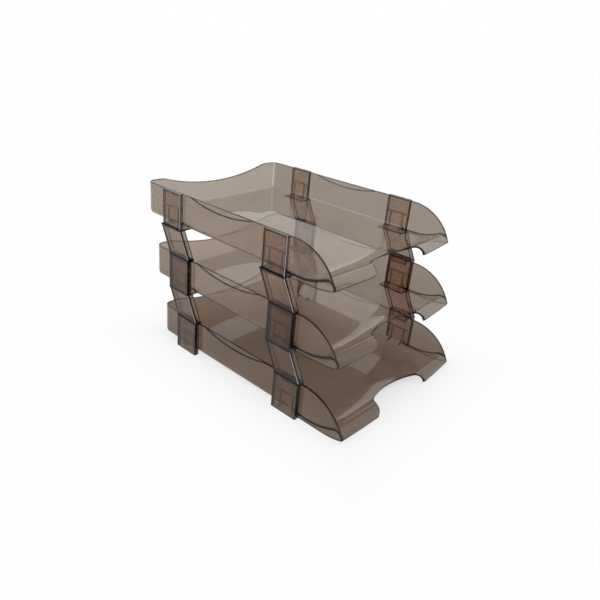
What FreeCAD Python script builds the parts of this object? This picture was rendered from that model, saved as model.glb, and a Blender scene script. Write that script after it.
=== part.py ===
import FreeCAD, Part
import math
import os
from collections import namedtuple

import Sketcher

# Three letter trays stacked on eight clip-on risers.
# Millimetres, +Z up, +Y to the back. The origin is on the desk, below the middle of the whole stack.

DRIVING_SIZES = {
    "tray_width": 255,  # over the side walls
    "tray_length": 335,  # from the front tips to the rear wall
    "tray_height": 45,  # from the floor's underside to the rim
    "wall": 2.2,
    "floor_sheet": 2.2,
    "plan_corner": 12,  # rear corners seen from above
    "bottom_corner": 7,  # outer rounding between the walls and the floor
    "foot_height": 3,  # the floor stands this far above its feet
    "tier_pitch": 87.5,  # height from one tray to the next
    "tier_step": 18,  # each tray lies this far behind the one below
    "skirt_length": 71.5,  # the side walls go down to foot level this far behind the tips
    "skirt_rise": 30,  # the skirt's front end rises to the tip over this length
    "front_drop": 61.5,  # the rim curves down to the tip over this length
    "tip_face": 1.05,  # height of the blunt tip
    "nose_radius": 10.5,  # round lip at the front of the floor
    "nose_height": 12.4,
    "ramp_radius": 77,  # hollow curve from the floor up to the lip
    "front_bow": 5,  # the lip bulges forward this far in the middle
    "cut_depth": 25.8,  # hand cut-out, behind the tips
    "cut_radius": 95,
    "cut_corner_offset": 21.5,
    "cut_corner_radius": 32,
    "cut_flare_radius": 8,
    "dip_depth": 15,  # hollow in the rear wall's rim
    "dip_radius": 340,
    "dip_blend": 25,
    "relief_offset": 15,  # finger relief outside each side wall, behind the tray's middle
    "relief_reach": 58,
    "relief_drop": 8,
    "relief_depth": 1,
    "front_leg": 85.5,  # middles of the front risers, behind the tips
    "rear_leg": 61.5,  # middles of the rear risers, in front of the rear wall
    "ledge_height": 22.5,  # small ledge on the wall inside each riser
    "ledge_width": 30,
    "ledge_reach": 1.3,
    "ledge_sheet": 1,
    "rib_spacing": 20,
    "rib_sheet": 1,
    "rib_foot": 9,  # a rib's foot reaches this far in under the floor
    "clearance": 0.3,
    "leg_width": 36.6,  # upper leg, over its flanges
    "leg_depth": 4.8,  # from the wall's outside to the leg's outside
    "leg_face": 1.8,
    "leg_flange": 1.2,
    "leg_corner": 0.6,
    "cap_sheet": 1.8,
    "hook_width": 24,
    "hook_drop": 8,
    "hook_sheet": 1.8,
    "shelf_sheet": 1.8,
    "shelf_reach": 14,  # the shelf goes this far in under the tray
    "brace_reach": 3,  # the slanted flanges go this far in past the wall's outside
    "brace_setback": 0.8,  # the brace's face lies this far behind the sleeve's
}

TIERS = ("bottom", "middle", "top")
LEVELS = ("lower", "upper")
SIDES = {"left": -1, "right": 1}
ENDS = ("front", "rear")
SHEET_SPREAD = 2.4  # the bowed sheet starts wider than the tray and is trimmed to the walls
NEAR = 0.01  # an edge this near a height lies at it


class Size:
    """A length that keeps the formula it came from beside its value."""

    def __init__(self, formula, value):
        self.formula = formula
        self.value = float(value)

    def __add__(self, other):
        return self.joined("+", other, lambda a, b: a + b)

    def __sub__(self, other):
        return self.joined("-", other, lambda a, b: a - b)

    def __mul__(self, other):
        return self.joined("*", other, lambda a, b: a * b)

    def __truediv__(self, other):
        return self.joined("/", other, lambda a, b: a / b)

    def __neg__(self):
        return self * -1

    def joined(self, sign, other, work):
        other = as_size(other)
        return Size(f"({self.formula} {sign} {other.formula})", work(self.value, other.value))


def as_size(number):
    if isinstance(number, Size):
        return number
    return Size(f"({number})", number)


def root(size):
    return Size(f"sqrt({size.formula})", math.sqrt(size.value))


class Sheet:
    """The driving sizes, each one a named cell and an attribute of the same name."""

    def __init__(self, document, sizes):
        cells = document.addObject("Spreadsheet::Sheet", "Sizes")
        for row, (name, value) in enumerate(sizes.items(), start=1):
            cells.set(f"A{row}", name)
            cells.set(f"B{row}", str(value))
            cells.setAlias(f"B{row}", name)
            setattr(self, name, Size(f"Sizes.{name}", value))
        document.recompute()


# A corner is reached from the one before it in a straight line, or along its bend.
Corner = namedtuple("Corner", "across up bend", defaults=(None,))
# A bend turns about its middle: counter-clockwise where turn is 1, clockwise where it is -1.
Bend = namedtuple("Bend", "across up radius turn")


def bind(thing, name, size):
    thing.setExpression(name, as_size(size).formula)


def add_loop(sketch, corners):
    """Draw a closed outline whose corners and radii are all bound to the sheet."""
    first = sketch.GeometryCount
    count = len(corners)
    starts = []
    ends = []
    bound = []
    for index, corner in enumerate(corners):
        following = corners[(index + 1) % count]
        here = FreeCAD.Vector(corner.across.value, corner.up.value, 0)
        there = FreeCAD.Vector(following.across.value, following.up.value, 0)
        bend = following.bend
        if bend is None:
            sketch.addGeometry(Part.LineSegment(here, there), False)
            starts.append(1)
            ends.append(2)
            continue
        middle = FreeCAD.Vector(bend.across.value, bend.up.value, 0)
        begin, finish = (here, there) if bend.turn > 0 else (there, here)
        circle = Part.Circle(middle, FreeCAD.Vector(0, 0, 1), bend.radius.value)
        begin_angle = math.atan2(begin.y - middle.y, begin.x - middle.x)
        finish_angle = math.atan2(finish.y - middle.y, finish.x - middle.x)
        if finish_angle < begin_angle:
            finish_angle += 2 * math.pi
        sketch.addGeometry(Part.ArcOfCircle(circle, begin_angle, finish_angle), False)
        starts.append(1 if bend.turn > 0 else 2)
        ends.append(2 if bend.turn > 0 else 1)
        bound.append(("Radius", (first + index,), bend.radius))
    for index, corner in enumerate(corners):
        before = (index - 1) % count
        here = (first + index, starts[index])
        sketch.addConstraint(Sketcher.Constraint("Coincident", first + before, ends[before], *here))
        bound.append(("DistanceX", (-1, 1) + here, corner.across))
        bound.append(("DistanceY", (-1, 1) + here, corner.up))
    for kind, place, size in bound:
        number = sketch.addConstraint(Sketcher.Constraint(kind, *place, size.value))
        bind(sketch, f"Constraints[{number}]", size)


def draw(body, name, plane_role, loops, offset=None):
    """Make a sketch of one or more closed outlines on an origin plane of the body."""
    sketch = body.newObject("Sketcher::SketchObject", name)
    plane = next(item for item in body.Origin.OriginFeatures if item.Role == plane_role)
    sketch.AttachmentSupport = [(plane, "")]
    sketch.MapMode = "FlatFace"
    if offset is not None:
        bind(sketch, "AttachmentOffset.Base.z", offset)
    for corners in loops:
        add_loop(sketch, [Corner(as_size(c.across), as_size(c.up), c.bend) for c in corners])
    body.Document.recompute()
    return sketch


def rectangle(left, bottom, right, top):
    return [Corner(left, bottom), Corner(right, bottom), Corner(right, top), Corner(left, top)]


def pad(body, name, sketch, length, symmetric=False, reverse=False, lean=None):
    """Add the sketch's area along its normal; lean is the sideways shift over that length."""
    feature = body.newObject("PartDesign::Pad", name)
    feature.Profile = sketch
    feature.SideType = "Symmetric" if symmetric else "One side"
    feature.Reversed = reverse
    bind(feature, "Length", length)
    if lean is not None:
        feature.UseCustomVector = True
        feature.AlongSketchNormal = True
        feature.Direction = FreeCAD.Vector(0, lean.value, length.value)
        bind(feature, "Direction.y", lean)
        bind(feature, "Direction.z", length)
    body.Document.recompute()
    return feature


def pocket(body, name, sketch, length, symmetric=False, reverse=False):
    """Cut the sketch's area and make sure that something was cut."""
    before = body.Shape.Volume
    feature = body.newObject("PartDesign::Pocket", name)
    feature.Profile = sketch
    feature.SideType = "Symmetric" if symmetric else "One side"
    feature.Reversed = reverse
    bind(feature, "Length", length)
    body.Document.recompute()
    if body.Shape.Volume >= before:
        raise RuntimeError(f"{body.Label}: {name} cuts nothing")
    return feature


def fillet(body, name, radius, wanted):
    """Round every edge of the body whose middle the test picks."""
    base = body.Tip
    edges = enumerate(base.Shape.Edges, start=1)
    names = [f"Edge{number}" for number, edge in edges if wanted(edge)]
    feature = body.newObject("PartDesign::Fillet", name)
    feature.Base = (base, names)
    bind(feature, "Radius", radius)
    body.Document.recompute()
    return feature


def new_body(document, label):
    body = document.addObject("PartDesign::Body", label)
    body.Label = label
    return body


def through(s):
    """Length of a symmetric cut that goes past both the rim and the feet."""
    return (s.tray_height + s.foot_height) * 2


def leg_place(s, end):
    """Middle of a riser along Y, from the tray's middle."""
    half = s.tray_length / 2
    return s.front_leg - half if end == "front" else half - s.rear_leg


def tub_plan(s, inset, front):
    """Plan of the tray behind its skirts: square in front, two round corners at the back."""
    side = s.tray_width / 2 - inset
    back = s.tray_length / 2 - inset
    radius = s.plan_corner - inset
    right_bend = Bend(side - radius, back - radius, radius, 1)
    left_bend = Bend(radius - side, back - radius, radius, 1)
    return [
        Corner(-side, front),
        Corner(side, front),
        Corner(side, back - radius),
        Corner(side - radius, back, right_bend),
        Corner(radius - side, back),
        Corner(-side, back - radius, left_bend),
    ]


def make_tub(s, body):
    """The tray's rear part: floor and three walls with rounded joints."""
    zero = as_size(0)
    front = s.skirt_length - s.tray_length / 2
    outside = draw(body, "tub_outside", "XY_Plane", [tub_plan(s, zero, front)])
    pad(body, "tub_block", outside, s.tray_height)

    def lies_at(level):
        def wanted(edge):
            box = edge.BoundBox
            flat = abs(box.ZMin - level) < NEAR and abs(box.ZMax - level) < NEAR
            return flat and box.YMax > front.value + NEAR
        return wanted

    fillet(body, "tub_bottom_round", s.bottom_corner, lies_at(0))
    inside = draw(body, "tub_inside", "XY_Plane", [tub_plan(s, s.wall, front)], s.floor_sheet)
    pocket(body, "tub_hollow", inside, s.tray_height, reverse=True)
    fillet(body, "tub_inside_round", s.bottom_corner - s.wall, lies_at(s.floor_sheet.value))


def make_rear_dip(s, body):
    """The hollow in the rear wall's rim, with a soft blend at each end."""
    rim = s.tray_height
    above = rim + s.wall
    reach_to_blend = s.dip_radius + s.dip_blend
    dip_middle = rim - s.dip_depth + s.dip_radius
    blend_across = root(s.dip_depth * (reach_to_blend * 2 - s.dip_depth))
    share = s.dip_blend / reach_to_blend
    join_across = blend_across - blend_across * share
    join_up = rim - s.dip_blend + (dip_middle - rim + s.dip_blend) * share
    dip = Bend(as_size(0), dip_middle, s.dip_radius, 1)
    right_blend = Bend(blend_across, rim - s.dip_blend, s.dip_blend, -1)
    left_blend = Bend(-blend_across, rim - s.dip_blend, s.dip_blend, -1)
    outline = [
        Corner(-blend_across, above),
        Corner(-blend_across, rim),
        Corner(-join_across, join_up, left_blend),
        Corner(join_across, join_up, dip),
        Corner(blend_across, rim, right_blend),
        Corner(blend_across, above),
    ]
    sketch = draw(body, "rear_dip_outline", "XZ_Plane", [outline])
    pocket(body, "rear_dip", sketch, s.tray_length)


def make_front_walls(s, body):
    """The side walls in front: a skirt down to foot level, and the rim's curve to the tip."""
    tip = -s.tray_length / 2
    back = tip + s.skirt_length
    tip_bottom = s.nose_height - s.nose_radius
    rise = tip_bottom + s.foot_height
    rise_radius = (s.skirt_rise * s.skirt_rise + rise * rise) / (rise * 2)
    tip_top = tip_bottom + s.tip_face
    drop = s.tray_height - tip_top
    curve_radius = (s.front_drop * s.front_drop + drop * drop) / (drop * 2)
    curve_across = tip + s.front_drop
    skirt_bend = Bend(tip + s.skirt_rise, rise_radius - s.foot_height, rise_radius, -1)
    rim_bend = Bend(curve_across, s.tray_height - curve_radius, curve_radius, -1)
    outline = [
        Corner(back, -s.foot_height),
        Corner(tip + s.skirt_rise, -s.foot_height),
        Corner(tip, tip_bottom, skirt_bend),
        Corner(tip, tip_top),
        Corner(curve_across, s.tray_height, rim_bend),
        Corner(back, s.tray_height),
    ]
    sketch = draw(body, "front_wall_outline", "YZ_Plane", [outline])
    pad(body, "front_walls", sketch, s.tray_width, symmetric=True)
    inner = s.tray_width / 2 - s.wall
    between = draw(body, "between_front_walls", "XY_Plane", [rectangle(-inner, tip - s.wall, inner, back)])
    pocket(body, "front_opening", between, through(s), symmetric=True)


def make_finger_relief(s, body, side):
    """A shallow crescent hollow below the rim, outside one side wall."""
    radius = (s.relief_reach * s.relief_reach + s.relief_drop * s.relief_drop) / (s.relief_drop * 2)
    middle = s.relief_offset
    rim = s.tray_height
    crescent = Bend(middle, rim - s.relief_drop + radius, radius, 1)
    outline = [Corner(middle - s.relief_reach, rim), Corner(middle + s.relief_reach, rim, crescent)]
    name = "left" if side < 0 else "right"
    sketch = draw(body, f"{name}_relief_outline", "YZ_Plane", [outline], s.tray_width / 2 * side)
    pocket(body, f"{name}_relief", sketch, s.relief_depth, reverse=side < 0)


def rib_outline(s, side):
    """One rib across a side wall, from its ledge down to foot level and in under the floor."""
    wall_outside = s.tray_width / 2
    bury = s.wall / 2
    fillet_across = wall_outside - s.bottom_corner
    radius = s.bottom_corner - bury
    bend = Bend(fillet_across * side, s.bottom_corner, radius, -side)
    low = -s.foot_height
    return [
        Corner((wall_outside + s.ledge_reach) * side, low),
        Corner((wall_outside + s.ledge_reach) * side, s.ledge_height),
        Corner((wall_outside - bury) * side, s.ledge_height),
        Corner((wall_outside - bury) * side, s.bottom_corner),
        Corner(fillet_across * side, bury, bend),
        Corner((wall_outside - s.rib_foot) * side, bury),
        Corner((wall_outside - s.rib_foot) * side, low),
    ]


def make_seats(s, body, end):
    """The ledge and two ribs on both side walls, where a riser goes."""
    middle = leg_place(s, end)
    for number, across in enumerate((-s.rib_spacing / 2, s.rib_spacing / 2), start=1):
        loops = [rib_outline(s, side) for side in SIDES.values()]
        name = f"{end}_rib_{number}"
        sketch = draw(body, f"{name}_outline", "XZ_Plane", loops, -(middle + across))
        pad(body, name, sketch, s.rib_sheet, symmetric=True)
    wall_outside = s.tray_width / 2
    half = s.ledge_width / 2
    bury = s.wall / 2
    loops = []
    for side in SIDES.values():
        near = (wall_outside - bury) * side
        far = (wall_outside + s.ledge_reach) * side
        loops.append(rectangle(near, middle - half, far, middle + half))
    sketch = draw(body, f"{end}_ledge_outline", "XY_Plane", loops, s.ledge_height)
    pad(body, f"{end}_ledge", sketch, s.ledge_sheet)


def bow_radius(s):
    """Radius of the lip's bulge seen from above, through both tips."""
    half = s.tray_width / 2
    return (half * half + s.front_bow * s.front_bow) / (s.front_bow * 2)


def cut_mouth_lip(s):
    """How far forward the bowed lip lies where the hand cut-out ends its sides."""
    mouth = s.cut_corner_offset + s.cut_corner_radius
    return mouth * mouth / (bow_radius(s) * 2) - s.tray_length / 2 - s.front_bow


def make_front_sheet(s, body):
    """The floor's front part: flat, then a hollow ramp and a round lip, bowed forward."""
    tip = -s.tray_length / 2
    lip = tip - s.front_bow
    reach = s.ramp_radius + s.nose_radius
    ramp_up = s.floor_sheet + s.ramp_radius
    nose_up = s.nose_height - s.nose_radius
    climb = ramp_up - nose_up
    nose_across = lip + s.nose_radius
    ramp_across = nose_across + root(reach * reach - climb * climb)

    def join(from_nose):
        share = from_nose / reach
        return nose_across + (ramp_across - nose_across) * share, nose_up + climb * share

    top_join = join(s.nose_radius)
    under_join = join(s.nose_radius - s.floor_sheet)
    back = tip + s.skirt_length + s.front_bow
    outline = [
        Corner(back, 0),
        Corner(back, s.floor_sheet),
        Corner(ramp_across, s.floor_sheet),
        Corner(*top_join, Bend(ramp_across, ramp_up, s.ramp_radius, -1)),
        Corner(lip, nose_up, Bend(nose_across, nose_up, s.nose_radius, 1)),
        Corner(lip + s.floor_sheet, nose_up),
        Corner(*under_join, Bend(nose_across, nose_up, s.nose_radius - s.floor_sheet, -1)),
        Corner(ramp_across, 0, Bend(ramp_across, ramp_up, s.ramp_radius + s.floor_sheet, 1)),
    ]
    sketch = draw(body, "lip_profile", "YZ_Plane", [outline])
    first = sketch.GeometryCount
    bow_middle = lip + bow_radius(s)
    low = FreeCAD.Vector(bow_middle.value, 0, 0)
    high = FreeCAD.Vector(bow_middle.value, s.tray_height.value, 0)
    sketch.addGeometry(Part.LineSegment(low, high), True)
    sketch.addConstraint(Sketcher.Constraint("Vertical", first))
    for kind, size in (("DistanceX", bow_middle), ("DistanceY", as_size(0))):
        number = sketch.addConstraint(Sketcher.Constraint(kind, -1, 1, first, 1, size.value))
        bind(sketch, f"Constraints[{number}]", size)
    number = sketch.addConstraint(Sketcher.Constraint("DistanceY", first, 1, first, 2, s.tray_height.value))
    bind(sketch, f"Constraints[{number}]", s.tray_height)
    sheet = body.newObject("PartDesign::Revolution", "lip_sheet")
    sheet.Profile = sketch
    sheet.ReferenceAxis = (sketch, ["Axis0"])
    sheet.Midplane = True
    half = s.tray_width / 2
    sheet.setExpression("Angle", f"{SHEET_SPREAD} * asin({half.formula} / {bow_radius(s).formula})")
    body.Document.recompute()


def trim_front_sheet(s, body):
    """Cut the bowed sheet to the space between the side walls, in front of the tub."""
    inner = s.tray_width / 2 - s.wall
    tip = -s.tray_length / 2
    back = tip + s.skirt_length
    beyond = s.front_bow * 2
    kept = rectangle(-inner, tip - beyond, inner, back)
    around = rectangle(-s.tray_width, tip - beyond * 2, s.tray_width, back + s.skirt_length)
    sketch = draw(body, "trim_outline", "XY_Plane", [around, kept])
    pocket(body, "trim", sketch, through(s), symmetric=True)


def make_hand_cut(s, body):
    """The cut-out for a hand: a wide arc, two corner arcs and a flare at each end."""
    tip = -s.tray_length / 2
    wide_up = tip + s.cut_depth - s.cut_radius
    corner_across = s.cut_corner_offset
    corner_reach = s.cut_radius - s.cut_corner_radius
    corner_climb = root(corner_reach * corner_reach - corner_across * corner_across)
    corner_up = wide_up + corner_climb
    stretch = s.cut_radius / corner_reach
    wide_end = (corner_across * stretch, wide_up + corner_climb * stretch)
    lip = cut_mouth_lip(s)
    flare_up = lip + s.cut_flare_radius
    flare_reach = s.cut_corner_radius + s.cut_flare_radius
    flare_climb = flare_up - corner_up
    flare_aside = root(flare_reach * flare_reach - flare_climb * flare_climb)
    flare_across = corner_across + flare_aside
    share = s.cut_corner_radius / flare_reach
    corner_end = (corner_across + flare_aside * share, corner_up + flare_climb * share)
    ahead = tip - s.front_bow * 2

    def corner_bend(side):
        return Bend(corner_across * side, corner_up, s.cut_corner_radius, -1)

    def flare_bend(side):
        return Bend(flare_across * side, flare_up, s.cut_flare_radius, 1)

    wide = Bend(as_size(0), wide_up, s.cut_radius, -1)
    outline = [
        Corner(-flare_across, ahead),
        Corner(-flare_across, lip),
        Corner(-corner_end[0], corner_end[1], flare_bend(-1)),
        Corner(-wide_end[0], wide_end[1], corner_bend(-1)),
        Corner(wide_end[0], wide_end[1], wide),
        Corner(corner_end[0], corner_end[1], corner_bend(1)),
        Corner(flare_across, lip, flare_bend(1)),
        Corner(flare_across, ahead),
    ]
    sketch = draw(body, "hand_cut_outline", "XY_Plane", [outline])
    pocket(body, "hand_cut", sketch, through(s), symmetric=True)


def make_moulding(document, s):
    """The two bodies that every tray is joined from: its walls and its front sheet."""
    shell = new_body(document, "tray_shell")
    make_tub(s, shell)
    make_rear_dip(s, shell)
    make_front_walls(s, shell)
    for side in SIDES.values():
        make_finger_relief(s, shell, side)
    for end in ENDS:
        make_seats(s, shell, end)
    sheet = new_body(document, "tray_front_sheet")
    make_front_sheet(s, sheet)
    trim_front_sheet(s, sheet)
    make_hand_cut(s, sheet)
    return [shell, sheet]


def make_tray(document, s, moulding, tier, index):
    """One whole tray, in its place in the stack."""
    tray = document.addObject("Part::MultiFuse", f"tray_{tier}")
    tray.Shapes = moulding
    tray.Refine = True
    tray.Label = f"tray_{tier}"
    bind(tray, "Placement.Base.y", tray_middle(s, index))
    bind(tray, "Placement.Base.z", s.foot_height + s.tier_pitch * index)
    document.recompute()
    return tray


def tray_middle(s, index):
    """A tray's middle along Y, with the whole stack's box centred on the origin."""
    reach_in_front = -s.tray_length / 2 - cut_mouth_lip(s)
    return s.tier_step * (index - 1) + reach_in_front / 2


def channel(s, side, near, far, width, middle, face, flange):
    """Plan of a U-channel that is open towards the tray's wall, with rounded outer corners."""
    half = width / 2
    corner = s.leg_corner
    front = middle - half
    back = middle + half
    front_bend = Bend((far - corner) * side, front + corner, corner, side)
    back_bend = Bend((far - corner) * side, back - corner, corner, side)
    return [
        Corner(near * side, front),
        Corner((far - corner) * side, front),
        Corner(far * side, front + corner, front_bend),
        Corner(far * side, back - corner),
        Corner((far - corner) * side, back, back_bend),
        Corner(near * side, back),
        Corner(near * side, back - flange),
        Corner((far - face) * side, back - flange),
        Corner((far - face) * side, front + flange),
        Corner(near * side, front + flange),
    ]


def block(side, near, far, width, middle):
    """Plan of a rectangle beside the tray's wall."""
    half = width / 2
    return rectangle(near * side, middle - half, far * side, middle + half)


def make_riser(document, s, level, end, side_name):
    """One riser: a sleeve over the lower rim, a slanted brace, a shelf and an upper leg."""
    side = SIDES[side_name]
    index = LEVELS.index(level)
    body = new_body(document, f"riser_{level}_{end}_{side_name}")
    low_middle = as_size(0)
    top_middle = s.tier_step
    gap = s.clearance
    upper_far = s.leg_depth
    sleeve_far = upper_far + gap + s.leg_face
    sleeve_width = s.leg_width + (gap + s.leg_flange) * 2
    hook_near = -(s.wall + gap + s.hook_sheet)
    cap_bottom = s.foot_height + s.tray_height + gap
    cap_top = cap_bottom + s.cap_sheet
    shelf_top = s.tier_pitch
    shelf_bottom = shelf_top - s.shelf_sheet
    leg_height = s.foot_height + s.tray_height

    def layer(name, outline, bottom, height, lean=None):
        sketch = draw(body, f"{name}_plan", "XY_Plane", [outline], bottom)
        pad(body, name, sketch, height, lean=lean)

    sleeve = channel(s, side, gap, sleeve_far, sleeve_width, low_middle, s.leg_face, s.leg_flange)
    layer("sleeve", sleeve, as_size(0), cap_bottom)
    layer("cap", block(side, hook_near, sleeve_far, sleeve_width, low_middle), cap_bottom, s.cap_sheet)
    hook = block(side, hook_near, hook_near + s.hook_sheet, s.hook_width, low_middle)
    layer("hook", hook, cap_bottom - s.hook_drop, s.hook_drop)
    brace_far = sleeve_far - s.brace_setback
    brace = channel(s, side, -s.brace_reach, brace_far, sleeve_width, low_middle, s.leg_face, s.leg_flange)
    layer("brace", brace, cap_top, shelf_bottom - cap_top, lean=s.tier_step)
    shelf = block(side, -s.shelf_reach, sleeve_far, sleeve_width, top_middle)
    layer("shelf", shelf, shelf_bottom, s.shelf_sheet)
    leg = channel(s, side, gap, upper_far, s.leg_width, top_middle, s.leg_face, s.leg_flange)
    layer("leg", leg, shelf_top, leg_height)
    leg_cap = block(side, gap, upper_far - s.leg_face, s.leg_width - s.leg_flange * 2, top_middle)
    layer("leg_cap", leg_cap, shelf_top + leg_height - s.cap_sheet, s.cap_sheet)

    bind(body, "Placement.Base.x", s.tray_width / 2 * side)
    bind(body, "Placement.Base.y", tray_middle(s, index) + leg_place(s, end))
    bind(body, "Placement.Base.z", s.tier_pitch * index)
    document.recompute()
    return body


def check_document(document, pieces):
    """Stop unless every object was computed and every piece is one valid solid."""
    for item in document.Objects:
        if "Invalid" in item.State or "Error" in item.State:
            raise RuntimeError(f"{item.Name}: {item.State}")
    for piece in pieces:
        shape = piece.Shape
        if shape.isNull() or not shape.isValid() or len(shape.Solids) != 1:
            raise RuntimeError(f"{piece.Label}: not one valid solid")


def main():
    os.makedirs("parts", exist_ok=True)
    document = FreeCAD.newDocument("letter_tray")
    sizes = Sheet(document, DRIVING_SIZES)
    moulding = make_moulding(document, sizes)
    pieces = [make_tray(document, sizes, moulding, tier, index) for index, tier in enumerate(TIERS)]
    for level in LEVELS:
        for end in ENDS:
            for side_name in SIDES:
                pieces.append(make_riser(document, sizes, level, end, side_name))
    check_document(document, pieces)
    for piece in pieces:
        piece.Shape.exportStep(f"parts/{piece.Label}.step")
        print(f"{piece.Label}: {piece.Shape.Volume / 1000:.2f} cm3")


main()
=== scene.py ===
"""Looks of a three-tier letter tray in smoke-tinted transparent plastic."""

import logging
import math
from dataclasses import dataclass, field
from enum import Enum
from typing import Any, Iterable

import bpy
from mathutils import Matrix, Vector


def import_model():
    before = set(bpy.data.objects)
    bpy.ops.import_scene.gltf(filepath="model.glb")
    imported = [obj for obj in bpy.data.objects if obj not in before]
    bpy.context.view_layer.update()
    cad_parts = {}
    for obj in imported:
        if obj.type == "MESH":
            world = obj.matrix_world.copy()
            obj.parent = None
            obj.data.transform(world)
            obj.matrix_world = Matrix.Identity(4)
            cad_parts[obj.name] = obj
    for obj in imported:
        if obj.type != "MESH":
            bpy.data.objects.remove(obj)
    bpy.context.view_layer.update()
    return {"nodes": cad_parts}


LOG = logging.getLogger("letter_tray")

# Places on the stack in metres, as the solids have them.
MM = 0.001
WALL_OUTSIDE = 0.1277  # just past the outside of the side walls
REAR_OUTSIDE = 0.1516  # outside of the bottom tray's rear wall
TIER_PITCH = 0.0875  # height from one tray to the next
TIER_STEP = 0.018  # each tray lies this far behind the one below
SLEEVE_TOP = 0.051  # a riser's sleeve ends this far above the foot of its tray
NO_LIMIT = 1.0  # further out than any piece

CHANNELS = ("Red", "Green", "Blue")
WHITE = (1.0, 1.0, 1.0)
FIRST_SHEET = 1.5  # a ray has gone through fewer surfaces than this in its first sheet

Corner = tuple[float, float, float]
Colour = tuple[float, float, float]
Pair = tuple[float, float]
Span = tuple[float, float]


class Tier(Enum):
    """The three trays, from the desk up."""

    BOTTOM = "bottom"
    MIDDLE = "middle"
    TOP = "top"


class Grain(Enum):
    """Which way the plastic flowed when the piece was moulded."""

    ALONG_TRAY = (0.35, 1.0, 1.0)
    UP_RISER = (1.0, 1.0, 0.3)


class Effect(Enum):
    """The node groups that the finishes share."""

    HANDLING = "handling_marks"
    MOULDING = "moulding_flow"
    EDGE = "painted_edge_shade"
    DESK = "desk_nearness"
    REAR = "rear_wall"


class NodeSheet:
    """Small helper that adds nodes and links to one node tree."""

    def __init__(self, tree: bpy.types.NodeTree) -> None:
        """Keep the material or group tree that the nodes go in."""
        self.tree = tree

    def add(self, kind: str, **values: Any) -> bpy.types.Node:
        """Add a node and set its own properties.

        Args:
            kind: Blender's name of the node type.
            values: Properties of the node.

        Returns:
            The new node.
        """
        node = self.tree.nodes.new(kind)
        for name, value in values.items():
            setattr(node, name, value)
        return node

    def put(self, node: bpy.types.Node, socket: str | int, value: Any) -> None:
        """Set an input's value, or link it where the value is another node's output.

        Args:
            node: Node that has the input.
            socket: Name or number of the input.
            value: Plain value, or an output socket.
        """
        if isinstance(value, bpy.types.NodeSocket):
            self.tree.links.new(value, node.inputs[socket])
        else:
            node.inputs[socket].default_value = value

    def math(self, operation: str, first: Any, second: Any = 0.0) -> bpy.types.NodeSocket:
        """Add a Math node.

        Args:
            operation: Name of the sum.
            first: First value or socket.
            second: Second value or socket.

        Returns:
            The result's socket.
        """
        node = self.add("ShaderNodeMath", operation=operation)
        self.put(node, 0, first)
        self.put(node, 1, second)
        return node.outputs[0]

    def ramp(self, value: Any, span: tuple[Any, Any], ends: Span = (0.0, 1.0)) -> Any:
        """Add a straight ramp that stays level outside its span.

        Args:
            value: Value or socket that runs over the span.
            span: Where the ramp starts and ends.
            ends: What it gives at those two places.

        Returns:
            The result's socket.
        """
        node = self.add("ShaderNodeMapRange")
        self.put(node, "Value", value)
        self.put(node, "From Min", span[0])
        self.put(node, "From Max", span[1])
        self.put(node, "To Min", ends[0])
        self.put(node, "To Max", ends[1])
        return node.outputs[0]

    def noise(self, spot: Any, scale: Any, detail: float, roughness: float = 0.5) -> Any:
        """Add a noise pattern.

        Args:
            spot: Socket with the place.
            scale: Scale of the pattern, or its socket.
            detail: How many finer layers it has.
            roughness: How strong these are.

        Returns:
            The result's socket.
        """
        node = self.add("ShaderNodeTexNoise")
        self.put(node, "Vector", spot)
        self.put(node, "Scale", scale)
        self.put(node, "Detail", detail)
        self.put(node, "Roughness", roughness)
        return node.outputs[0]

    def split(self, vector: bpy.types.NodeSocket) -> Any:
        """Add a node that splits a vector.

        Args:
            vector: Socket with the vector.

        Returns:
            The outputs X, Y and Z.
        """
        node = self.add("ShaderNodeSeparateXYZ")
        self.put(node, 0, vector)
        return node.outputs

    def seen_ray(self) -> bpy.types.NodeSocket:
        """Add the test for a ray that shows its surface, directly or in or through the plastic.

        Returns:
            A socket that is 1 for such a ray.
        """
        ray = self.add("ShaderNodeLightPath").outputs
        seen = self.math("MAXIMUM", ray["Is Camera Ray"], ray["Is Glossy Ray"])
        return self.math("MAXIMUM", seen, ray["Is Transmission Ray"])


def open_group(
    effect: Effect, inputs: dict[str, float], outputs: Iterable[str]
) -> tuple[Any, bpy.types.Node, NodeSheet]:
    """Start a shader node group with named inputs and outputs.

    Args:
        effect: Which group it is.
        inputs: Each float input with its default; a vector for the place comes after them.
        outputs: Names of the float outputs.

    Returns:
        The sockets that the group is given, its output node, and its node sheet.
    """
    tree = bpy.data.node_groups.new(effect.value, "ShaderNodeTree")
    for label, value in inputs.items():
        socket = tree.interface.new_socket(label, in_out="INPUT", socket_type="NodeSocketFloat")
        socket.default_value = value
    tree.interface.new_socket("Vector", in_out="INPUT", socket_type="NodeSocketVector")
    for label in outputs:
        tree.interface.new_socket(label, in_out="OUTPUT", socket_type="NodeSocketFloat")
    sheet = NodeSheet(tree)
    return sheet.add("NodeGroupInput").outputs, sheet.add("NodeGroupOutput"), sheet


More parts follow.
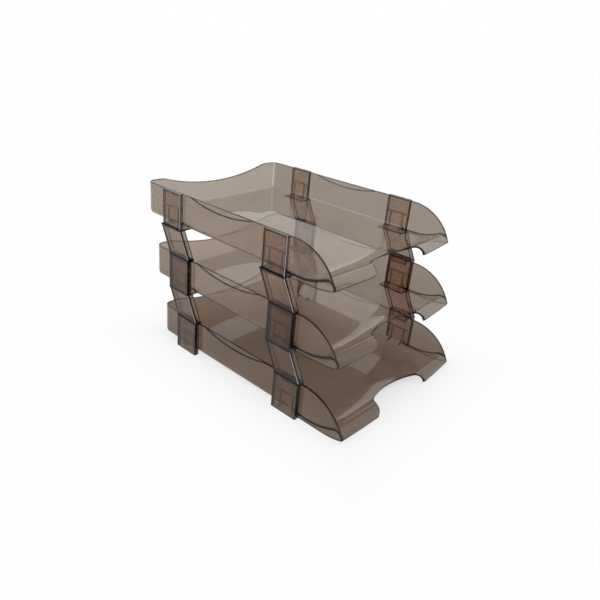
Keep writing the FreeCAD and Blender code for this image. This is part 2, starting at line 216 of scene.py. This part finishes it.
@dataclass(frozen=True)
class HandlingMarks:
    """Hairline scratches and soft smudges from use."""

    scratch_scale: float = 40.0
    scratch_depth: float = 0.3
    scratch_stretch: Corner = (1.0, 0.06, 0.4)
    scratch_turn: float = math.radians(24)
    scratch_detail: float = 6.0
    scratch_breakup: float = 0.7
    scratch_width: float = 0.012
    scratch_dullness: float = 0.08
    noise_middle: float = 0.5
    smudge_scale: float = 14.0
    smudge_amount: float = 0.05
    smudge_detail: float = 3.0
    smudge_span: Span = (0.45, 0.7)

    def make_group(self) -> bpy.types.NodeTree:
        """Make the group that puts out the marks' roughness and height.

        Returns:
            The group's node tree.
        """
        inputs = {
            "Scratch Scale": self.scratch_scale,
            "Scratch Depth": self.scratch_depth,
            "Smudge Scale": self.smudge_scale,
            "Smudge Amount": self.smudge_amount,
        }
        given, end, sheet = open_group(Effect.HANDLING, inputs, ("Roughness", "Height"))
        stretched = sheet.add("ShaderNodeMapping")
        sheet.put(stretched, "Vector", given["Vector"])
        sheet.put(stretched, "Scale", self.scratch_stretch)
        sheet.put(stretched, "Rotation", (0.0, 0.0, self.scratch_turn))
        hairs = sheet.noise(
            stretched.outputs[0], given["Scratch Scale"], self.scratch_detail, self.scratch_breakup
        )
        off_line = sheet.math("ABSOLUTE", sheet.math("SUBTRACT", hairs, self.noise_middle))
        line = sheet.ramp(off_line, (0.0, self.scratch_width), (1.0, 0.0))
        patch = sheet.noise(given["Vector"], given["Smudge Scale"], self.smudge_detail)
        worn = sheet.ramp(patch, self.smudge_span)
        smudge = sheet.math("MULTIPLY", worn, given["Smudge Amount"])
        scratch = sheet.math("MULTIPLY", line, worn)
        dull = sheet.math("MULTIPLY", scratch, self.scratch_dullness)
        sheet.put(end, "Roughness", sheet.math("ADD", smudge, dull))
        deep = sheet.math("MULTIPLY", scratch, given["Scratch Depth"])
        sheet.put(end, "Height", sheet.math("MULTIPLY", deep, -1.0))
        return sheet.tree


@dataclass(frozen=True)
class MouldingFlow:
    """Faint waves and tint streaks that moulding leaves."""

    wave_scale: float = 9.0
    wave_height: float = 0.4
    wave_detail: float = 1.0
    streak_scale: float = 6.0
    streak_amount: float = 0.05
    streak_detail: float = 2.0
    noise_middle: float = 0.5

    def make_group(self) -> bpy.types.NodeTree:
        """Make the group that puts out the waves' height and the streaks' tint.

        Returns:
            The group's node tree.
        """
        inputs = {
            "Wave Scale": self.wave_scale,
            "Wave Height": self.wave_height,
            "Streak Scale": self.streak_scale,
            "Streak Amount": self.streak_amount,
        }
        given, end, sheet = open_group(Effect.MOULDING, inputs, ("Height", "Tint"))
        wave = sheet.noise(given["Vector"], given["Wave Scale"], self.wave_detail)
        sheet.put(end, "Height", sheet.math("MULTIPLY", wave, given["Wave Height"]))
        streak = sheet.noise(given["Vector"], given["Streak Scale"], self.streak_detail)
        lean = sheet.math("SUBTRACT", streak, self.noise_middle)
        lean = sheet.math("MULTIPLY", lean, given["Streak Amount"])
        sheet.put(end, "Tint", sheet.math("SUBTRACT", 1.0, sheet.math("ABSOLUTE", lean)))
        return sheet.tree


@dataclass(frozen=True)
class EdgeShadeAndGlint:
    """Painted shade at sharp edges and flanges, and painted highlights on small rounded corners.

    Light that enters an edge runs a long way inside the sheet, so that edges look almost black;
    this shade is painted into the tint. The risers' flanges, which lie square to the tray's
    length, get painted shade too. What lies further out than the edge limit keeps its tint, and a
    riser's corners get a painted glint where no sleeve covers them.
    """

    bevel_samples: int = 6
    reach: float = 1.0 * MM
    depth: float = 0.9
    same_way_span: Span = (1.0, 0.95)
    flange_turn_span: Span = (0.6, 0.85)
    corner_turn_span: Span = (0.2, 0.3)

    def make_group(self) -> bpy.types.NodeTree:
        """Make the group that puts out how clear a spot is after the painted edge shade, and its
        painted glint.

        Returns:
            The group's node tree.
        """
        inputs = {
            "Reach": self.reach,
            "Depth": self.depth,
            "Edge Limit": NO_LIMIT,
            "Flange Depth": 0.0,
            "Flange Start": 0.0,
            "Glint Amount": 0.0,
        }
        given, end, sheet = open_group(Effect.EDGE, inputs, ("Clear", "Glint"))
        rounded = sheet.add("ShaderNodeBevel", samples=self.bevel_samples)
        sheet.put(rounded, "Radius", given["Reach"])
        flat = sheet.add("ShaderNodeNewGeometry").outputs["True Normal"]
        same_way = sheet.add("ShaderNodeVectorMath", operation="DOT_PRODUCT")
        sheet.put(same_way, 0, rounded.outputs[0])
        sheet.put(same_way, 1, flat)
        near_edge = sheet.ramp(same_way.outputs["Value"], self.same_way_span)
        spot = sheet.split(given["Vector"])
        turn = sheet.split(flat)
        out = sheet.math("ABSOLUTE", spot["X"])
        # painted shade at sharp edges, darkening the tint
        dark = sheet.math("MULTIPLY", near_edge, given["Depth"])
        dark = sheet.math("MULTIPLY", dark, sheet.math("LESS_THAN", out, given["Edge Limit"]))
        # painted shade on the risers' flanges, seen edge-on through a face
        flange = sheet.ramp(sheet.math("ABSOLUTE", turn["Y"]), self.flange_turn_span)
        flange = sheet.math("MULTIPLY", flange, given["Flange Depth"])
        far_out = sheet.math("GREATER_THAN", out, given["Flange Start"])
        flange = sheet.math("MULTIPLY", flange, far_out)
        clear = sheet.math("SUBTRACT", 1.0, dark)
        clear = sheet.math("MULTIPLY", clear, sheet.math("SUBTRACT", 1.0, flange))
        sheet.put(end, "Clear", clear)
        # painted highlight on a riser's rounded corners where no sleeve covers them
        to_front = sheet.math("MULTIPLY", turn["Y"], -1.0)
        slant = sheet.math("MINIMUM", sheet.math("ABSOLUTE", turn["X"]), to_front)
        corner = sheet.ramp(slant, self.corner_turn_span)
        up_tier = sheet.math("MODULO", spot["Z"], TIER_PITCH)
        above_sleeve = sheet.math("GREATER_THAN", up_tier, SLEEVE_TOP)
        at_top = sheet.math("GREATER_THAN", spot["Z"], TIER_PITCH * 2)
        corner = sheet.math("MULTIPLY", corner, sheet.math("MAXIMUM", above_sleeve, at_top))
        sheet.put(end, "Glint", sheet.math("MULTIPLY", corner, given["Glint Amount"]))
        return sheet.tree


@dataclass(frozen=True)
class DeskNearness:
    """How near the desk a spot of the stack is, for painted shade that darkens the plastic towards
    the desk.
    """

    heights: Span = (0.0, 0.2)

    def make_group(self) -> bpy.types.NodeTree:
        """Make the group that puts out 1 at its low height and 0 at its high one.

        Returns:
            The group's node tree.
        """
        inputs = {"Low": self.heights[0], "High": self.heights[1]}
        given, end, sheet = open_group(Effect.DESK, inputs, ("Nearness",))
        height = sheet.split(given["Vector"])["Z"]
        nearness = sheet.ramp(height, (given["Low"], given["High"]), (1.0, 0.0))
        sheet.put(end, "Nearness", nearness)
        return sheet.tree


@dataclass(frozen=True)
class RearWall:
    """The upper trays' rear walls, which get painted light so that they look clearer than the
    sides.

    The middle of each rounded rear corner, on the inside, gets a painted highlight as a fine line.
    """

    wall_span: Span = (0.14, 0.15)
    corner_start: float = 0.13
    corner_turn_span: Span = (0.64, 0.69)

    def make_group(self) -> bpy.types.NodeTree:
        """Make the group that puts out the rear wall's share of painted light and the corner
        line's painted glint.

        Returns:
            The group's node tree.
        """
        inputs = {"Start": self.wall_span[0], "End": self.wall_span[1], "Glint Amount": 0.0}
        given, end, sheet = open_group(Effect.REAR, inputs, ("Share", "Glint"))
        spot = sheet.split(given["Vector"])
        above_foot = sheet.math("ADD", spot["Z"], MM)
        tier = sheet.math("FLOOR", sheet.math("DIVIDE", above_foot, TIER_PITCH))
        back = sheet.math("SUBTRACT", spot["Y"], sheet.math("MULTIPLY", tier, TIER_STEP))
        # painted light that makes the upper trays' rear walls look clearer
        share = sheet.ramp(back, (given["Start"], given["End"]))
        upper = sheet.math("MINIMUM", tier, 1.0)
        sheet.put(end, "Share", sheet.math("MULTIPLY", share, upper))
        # painted highlight: a fine line in the middle of each rounded rear corner
        turn = sheet.split(sheet.add("ShaderNodeNewGeometry").outputs["Normal"])
        to_front = sheet.math("MULTIPLY", turn["Y"], -1.0)
        slant = sheet.math("MINIMUM", sheet.math("ABSOLUTE", turn["X"]), to_front)
        line = sheet.ramp(slant, self.corner_turn_span)
        line = sheet.math("MULTIPLY", line, given["Glint Amount"])
        at_rear = sheet.math("GREATER_THAN", back, self.corner_start)
        sheet.put(end, "Glint", sheet.math("MULTIPLY", line, at_rear))
        return sheet.tree


@dataclass
class SurfaceEffects:
    """The node groups that every plastic finish shares."""

    groups: dict[Effect, bpy.types.NodeTree] = field(default_factory=dict)

    def build(self) -> None:
        """Make each group once."""
        self.groups[Effect.HANDLING] = HandlingMarks().make_group()
        self.groups[Effect.MOULDING] = MouldingFlow().make_group()
        self.groups[Effect.EDGE] = EdgeShadeAndGlint().make_group()
        self.groups[Effect.DESK] = DeskNearness().make_group()
        self.groups[Effect.REAR] = RearWall().make_group()

    def use(self, effect: Effect, sheet: NodeSheet, spot: Any, values: dict[str, float]) -> Any:
        """Place a group in a material with its own values.

        Args:
            effect: Which group.
            sheet: Where the group's node goes.
            spot: Socket with the place on the object.
            values: The inputs that are set.

        Returns:
            The outputs of the group's node.
        """
        node = sheet.add("ShaderNodeGroup", node_tree=self.groups[effect])
        sheet.put(node, "Vector", spot)
        for name, value in values.items():
            sheet.put(node, name, value)
        return node.outputs


@dataclass(frozen=True)
class SmokePlastic:
    """Clear moulded plastic with a smoke tint through its whole thickness.

    The volume's own tint is weak, so that what lies behind several sheets stays clear. Most of
    the tint is on the two surfaces of the first sheet that a ray meets; that tint is partly the
    plastic's smoke tint and partly painted shade, which stands for a dimmer ground behind it.
    The tint also holds painted shade at edges, flanges and towards the desk, and painted light
    on the upper rear walls; painted highlights are given out as emission.
    """

    name: str
    grain: Grain
    kept: Colour  # light that is left after a millimetre
    # partly the plastic's smoke tint, partly painted shade for a dimmer ground behind
    first_tint_and_shade: Colour = (0.34, 0.305, 0.277)
    # painted shade: the first sheet is darker towards the desk
    painted_desk_shade_left: Colour = (0.6, 0.53, 0.48)  # share of the first sheet's light left near the desk
    desk_heights: Span = (0.02, 0.17)
    density: float = 1000.0
    index: float = 1.55
    polish: float = 0.01
    shadow_clear: Colour = (0.93, 0.93, 0.93)
    wave_height: float = 0.35
    bump_distance: float = 0.1 * MM
    bump_strength: float = 0.6
    smudge: float = 0.04
    gloss: Colour = (0.4, 0.4, 0.4)
    edge_reach: float = 2.2 * MM
    painted_edge_shade: float = 0.985
    edge_limit: float = NO_LIMIT
    painted_flange_shade: float = 0.0
    flange_start: float = 0.0
    glint: float = 0.0
    # painted light on the upper trays' rear walls
    painted_rear_light: float = 0.0
    rear_span: Span = (REAR_OUTSIDE - 9 * MM, REAR_OUTSIDE - 4 * MM)
    # painted highlight line in the rear corners
    corner_glint: float = 0.0

    def build(self, effects: SurfaceEffects) -> bpy.types.Material:
        """Make the material.

        Args:
            effects: The shared node groups.

        Returns:
            The new material.
        """
        material = bpy.data.materials.new(self.name)
        material.use_nodes = True
        material.node_tree.nodes.clear()
        sheet = NodeSheet(material.node_tree)
        place = sheet.add("ShaderNodeTexCoord").outputs["Object"]
        ray = sheet.add("ShaderNodeLightPath").outputs
        flow = sheet.add("ShaderNodeMapping")
        sheet.put(flow, "Vector", place)
        sheet.put(flow, "Scale", self.grain.value)
        waves = {"Wave Height": self.wave_height}
        moulding = effects.use(Effect.MOULDING, sheet, flow.outputs[0], waves)
        smudges = {"Smudge Amount": self.smudge}
        handling = effects.use(Effect.HANDLING, sheet, place, smudges)
        edge_values = {
            "Reach": self.edge_reach,
            "Depth": self.painted_edge_shade,
            "Edge Limit": self.edge_limit,
            "Flange Depth": self.painted_flange_shade,
            "Flange Start": self.flange_start,
            "Glint Amount": self.glint,
        }
        edge = effects.use(Effect.EDGE, sheet, place, edge_values)
        heights = {"Low": self.desk_heights[0], "High": self.desk_heights[1]}
        desk = effects.use(Effect.DESK, sheet, place, heights)
        rear_values = {
            "Start": self.rear_span[0],
            "End": self.rear_span[1],
            "Glint Amount": self.corner_glint,
        }
        rear = effects.use(Effect.REAR, sheet, place, rear_values)
        # Painted shade: edges, flanges and the first sheet near the desk are darkened in the tint;
        # the upper rear walls get painted light.
        clear = sheet.math("MULTIPLY", moulding["Tint"], edge["Clear"])
        first = sheet.math("LESS_THAN", ray["Transmission Depth"], FIRST_SHEET)
        bright = sheet.math("ADD", edge["Glint"], rear["Glint"])
        height = sheet.math("ADD", moulding["Height"], handling["Height"])
        skin = sheet.add("ShaderNodeBsdfPrincipled")
        tint = self.add_tint(sheet, clear, first, desk["Nearness"], rear["Share"])
        sheet.put(skin, "Base Color", tint)
        # Emission gives the painted highlights of riser corners and of the rear corner lines.
        sheet.put(skin, "Emission Color", self.add_painted_glint(sheet, bright))
        sheet.put(skin, "Emission Strength", 1.0)
        sheet.put(skin, "Roughness", sheet.math("ADD", handling["Roughness"], self.polish))
        sheet.put(skin, "IOR", self.index)
        sheet.put(skin, "Specular Tint", opaque(self.gloss))
        sheet.put(skin, "Transmission Weight", 1.0)
        sheet.put(skin, "Normal", self.add_bump(sheet, height))
        passed = sheet.add("ShaderNodeBsdfTransparent")
        sheet.put(passed, "Color", opaque(self.shadow_clear))
        mix = sheet.add("ShaderNodeMixShader")
        sheet.put(mix, 0, ray["Is Shadow Ray"])
        sheet.put(mix, 1, skin.outputs[0])
        sheet.put(mix, 2, passed.outputs[0])
        depth = sheet.add("ShaderNodeVolumeAbsorption")
        sheet.put(depth, "Color", opaque(self.kept))
        sheet.put(depth, "Density", self.density)
        out = sheet.add("ShaderNodeOutputMaterial")
        sheet.put(out, "Surface", mix.outputs[0])
        sheet.put(out, "Volume", depth.outputs[0])
        return material

    def add_tint(self, sheet: NodeSheet, clear: Any, first: Any, desk: Any, rear: Any) -> Any:
        """Add the tint of a surface, with its painted shade and painted light.

        Args:
            sheet: Where the nodes go.
            clear: Socket that is low at the painted shade of edges and flanges.
            first: Socket that is 1 in the first sheet that a ray meets.
            desk: Socket with the nearness to the desk, for painted shade.
            rear: Socket with the rear wall's share of painted light.

        Returns:
            The colour's socket.
        """
        tint = sheet.add("ShaderNodeCombineColor")
        for channel, kept, low_kept in zip(CHANNELS, self.first_tint_and_shade, self.painted_desk_shade_left):
            painted_shade = sheet.math("MULTIPLY", desk, kept * (1.0 - low_kept))
            rear_painted_light = sheet.math("MULTIPLY", rear, kept * self.painted_rear_light)
            lost = sheet.math("ADD", 1.0 - kept, sheet.math("SUBTRACT", painted_shade, rear_painted_light))
            lost = sheet.math("MULTIPLY", first, lost)
            left = sheet.math("SUBTRACT", 1.0, lost)
            sheet.put(tint, channel, sheet.math("MULTIPLY", clear, left))
        return tint.outputs[0]

    def add_painted_glint(self, sheet: NodeSheet, bright: Any) -> Any:
        """Add the painted highlight, a glint given out as emission, which only a piece's outer
        side has.

        Args:
            sheet: Where the nodes go.
            bright: Socket with the painted glint's strength.

        Returns:
            The colour's socket.
        """
        back = sheet.add("ShaderNodeNewGeometry").outputs["Backfacing"]
        outward = sheet.math("SUBTRACT", 1.0, back)
        glow = sheet.add("ShaderNodeCombineColor")
        for channel in CHANNELS:
            sheet.put(glow, channel, sheet.math("MULTIPLY", bright, outward))
        return glow.outputs[0]

    def add_bump(self, sheet: NodeSheet, height: Any) -> Any:
        """Add the small relief of moulding and use.

        Args:
            sheet: Where the nodes go.
            height: Socket with the relief's height.

        Returns:
            The normal's socket.
        """
        bump = sheet.add("ShaderNodeBump")
        sheet.put(bump, "Height", height)
        sheet.put(bump, "Distance", self.bump_distance)
        sheet.put(bump, "Strength", self.bump_strength)
        return bump.outputs[0]


@dataclass
class Dressing:
    """Gives CAD nodes their finish."""

    material: bpy.types.Material

    def dress(self, node: bpy.types.Object) -> None:
        """Put the finish in the node's material slots.

        Args:
            node: CAD node that keeps its own shape.
        """
        if not node.material_slots:
            node.data.materials.append(self.material)
        for place in node.material_slots:
            place.material = self.material
        LOG.info("dressed %s with %s", node.name, self.material.name)


@dataclass
class TrayTier:
    """One tray of the stack."""

    tier: Tier
    nodes: dict[str, bpy.types.Object]

    def dress(self, dressing: Dressing) -> None:
        """Dress the tray of this tier with its finish."""
        dressing.dress(self.nodes[f"tray_{self.tier.value}"])


@dataclass
class RiserSet:
    """The eight risers that carry the two upper trays."""

    nodes: dict[str, bpy.types.Object]

    def dress(self, dressing: Dressing) -> None:
        """Dress every riser.

        Args:
            dressing: The risers' finish.
        """
        for name, node in self.nodes.items():
            if name.startswith("riser_"):
                dressing.dress(node)


@dataclass(frozen=True)
class SoftLamp:
    """A soft lamp so far away that it lights the whole floor evenly."""

    name: str
    source: Corner  # direction that the light comes from
    spread: float  # how wide the lamp looks, in degrees
    strength: float  # its light on a surface that faces it

    def build(self) -> None:
        """Make the lamp."""
        data = bpy.data.lights.new(self.name, "SUN")
        data.angle = math.radians(self.spread)
        data.energy = self.strength
        lamp = bpy.data.objects.new(self.name, data)
        lamp.rotation_euler = (-Vector(self.source)).to_track_quat("-Z", "Y").to_euler()
        bpy.context.scene.collection.objects.link(lamp)


@dataclass
class Studio:
    """Pale floor, even surroundings and soft lamps."""

    floor_size: float = 400.0
    floor_drop: float = 0.1 * MM
    floor_white: float = 0.97
    floor_roughness: float = 0.9
    # The shade_ values paint shade in a box under the stack, where the white glow is lowered.
    shade_half: Pair = (0.127, 0.168)
    shade_middle: float = -0.016
    shade_fade: Span = (-0.05, 0.2)
    shade_power: float = 4.0
    shaded_glow: float = 0.3
    open_glow: float = 0.98
    world_level: float = 0.7
    lamps: tuple[SoftLamp, ...] = (
        SoftLamp("key_light", (-0.72, -0.60, 0.40), 16.0, 0.8),
        SoftLamp("rim_light", (-0.9, 0.8, 1.1), 20.0, 0.3),
    )

    def build(self) -> None:
        """Make the floor, the surroundings and the lamps."""
        self.make_floor()
        self.make_world()
        for lamp in self.lamps:
            lamp.build()

    def make_floor(self) -> None:
        """Make the floor just below the object's feet."""
        half = self.floor_size / 2
        corners = [(-half, -half, 0.0), (half, -half, 0.0), (half, half, 0.0), (-half, half, 0.0)]
        mesh = bpy.data.meshes.new("floor")
        mesh.from_pydata(corners, [], [(0, 1, 2, 3)])
        floor = bpy.data.objects.new("floor", mesh)
        floor.location.z = -self.floor_drop
        bpy.context.scene.collection.objects.link(floor)
        mesh.materials.append(self.make_paper())

    def make_paper(self) -> bpy.types.Material:
        """Make the floor's material, which is white away from the stack and has painted shade in a
        box below it.

        Returns:
            The new material.
        """
        material = bpy.data.materials.new("floor_paper")
        material.use_nodes = True
        sheet = NodeSheet(material.node_tree)
        skin = material.node_tree.nodes["Principled BSDF"]
        sheet.put(skin, "Base Color", opaque((self.floor_white,) * 3))
        sheet.put(skin, "Roughness", self.floor_roughness)
        sheet.put(skin, "Specular IOR Level", 0.0)
        glow = sheet.add("ShaderNodeEmission")
        sheet.put(glow, "Color", opaque(WHITE))
        mix = sheet.add("ShaderNodeMixShader")
        sheet.put(mix, 0, sheet.math("MULTIPLY", sheet.seen_ray(), self.glow_share(sheet)))
        sheet.put(mix, 1, skin.outputs[0])
        sheet.put(mix, 2, glow.outputs[0])
        sheet.put(material.node_tree.nodes["Material Output"], "Surface", mix.outputs[0])
        return material

    def glow_share(self, sheet: NodeSheet) -> bpy.types.NodeSocket:
        """Add the share of plain white in the floor, which is small below the stack: painted shade
        in a box there, where the floor's own shadow shows.

        Args:
            sheet: Where the nodes go.

        Returns:
            A socket with the share of white.
        """
        spot = sheet.split(sheet.add("ShaderNodeTexCoord").outputs["Object"])
        across = sheet.math("SUBTRACT", sheet.math("ABSOLUTE", spot["X"]), self.shade_half[0])
        along = sheet.math("ABSOLUTE", sheet.math("SUBTRACT", spot["Y"], self.shade_middle))
        along = sheet.math("SUBTRACT", along, self.shade_half[1])
        near = sheet.ramp(sheet.math("MAXIMUM", across, along), self.shade_fade, (1.0, 0.0))
        painted_shade = sheet.math("POWER", near, self.shade_power)
        lost = sheet.math("MULTIPLY", painted_shade, self.open_glow - self.shaded_glow)
        return sheet.math("SUBTRACT", self.open_glow, lost)

    def make_world(self) -> None:
        """Make surroundings that look white and light the object a little less."""
        world = bpy.data.worlds.new("studio")
        bpy.context.scene.world = world
        world.use_nodes = True
        world.node_tree.nodes.clear()
        sheet = NodeSheet(world.node_tree)
        light = sheet.add("ShaderNodeBackground")
        sheet.put(light, "Color", opaque(WHITE))
        level = sheet.ramp(sheet.seen_ray(), (0.0, 1.0), (self.world_level, 1.0))
        sheet.put(light, "Strength", level)
        out = sheet.add("ShaderNodeOutputWorld")
        sheet.put(out, "Surface", light.outputs[0])


@dataclass
class PhotoCamera:
    """Camera at the photograph's own place and angle."""

    place: Corner = (-0.5582, -0.4461, 0.4233)
    turn: float = math.radians(49.809)
    dip: float = math.radians(23.679)
    roll: float = math.radians(5.192)
    focal_pixels: float = 549.0
    middle_pixels: Pair = (288.4, 275.7)
    frame_pixels: float = 600.0
    most_bounces: int = 40

    def build(self) -> None:
        """Make the camera and the scene's view settings."""
        level_ahead = Vector((math.sin(self.turn), math.cos(self.turn), 0.0))
        ahead = level_ahead * math.cos(self.dip) - Vector((0.0, 0.0, math.sin(self.dip)))
        level_right = Vector((math.cos(self.turn), -math.sin(self.turn), 0.0))
        level_up = level_right.cross(ahead)
        right = level_right * math.cos(self.roll) + level_up * math.sin(self.roll)
        up = level_up * math.cos(self.roll) - level_right * math.sin(self.roll)
        data = bpy.data.cameras.new("photo_camera")
        data.lens = self.focal_pixels * data.sensor_width / self.frame_pixels
        data.shift_x = 0.5 - self.middle_pixels[0] / self.frame_pixels
        data.shift_y = self.middle_pixels[1] / self.frame_pixels - 0.5
        camera = bpy.data.objects.new("photo_camera", data)
        facing = Matrix((right, up, -ahead)).transposed().to_4x4()
        camera.matrix_world = Matrix.Translation(self.place) @ facing
        bpy.context.scene.collection.objects.link(camera)
        bpy.context.scene.camera = camera
        bpy.context.scene.view_settings.view_transform = "Standard"
        for limit in ("max_bounces", "transmission_bounces", "transparent_max_bounces"):
            setattr(bpy.context.scene.cycles, limit, self.most_bounces)


def opaque(colour: Colour) -> tuple[float, float, float, float]:
    """Give the colour as a socket takes it, with full alpha."""
    return (*colour, 1.0)


def main() -> None:
    """Dress the stack and set up the studio."""
    logging.basicConfig(level=logging.INFO)
    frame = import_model()
    nodes = frame["nodes"]
    effects = SurfaceEffects()
    effects.build()
    tray_plastic = SmokePlastic(
        "tray_smoke_plastic",
        Grain.ALONG_TRAY,
        kept=(0.96, 0.935, 0.905),
        edge_limit=WALL_OUTSIDE,
        painted_rear_light=0.32,
        # painted highlight line in the trays' rear corners
        corner_glint=0.2,
    )
    riser_plastic = SmokePlastic(
        "riser_smoke_plastic",
        Grain.UP_RISER,
        kept=(0.845, 0.765, 0.705),
        painted_flange_shade=0.9,
        flange_start=WALL_OUTSIDE + 2.5 * MM,
        # painted highlight on the risers' uncovered corners
        glint=0.4,
    )
    tray_dressing = Dressing(tray_plastic.build(effects))
    riser_dressing = Dressing(riser_plastic.build(effects))
    for tier in Tier:
        TrayTier(tier, nodes).dress(tray_dressing)
    RiserSet(nodes).dress(riser_dressing)
    Studio().build()
    PhotoCamera().build()


if __name__ == "__main__":
    main()
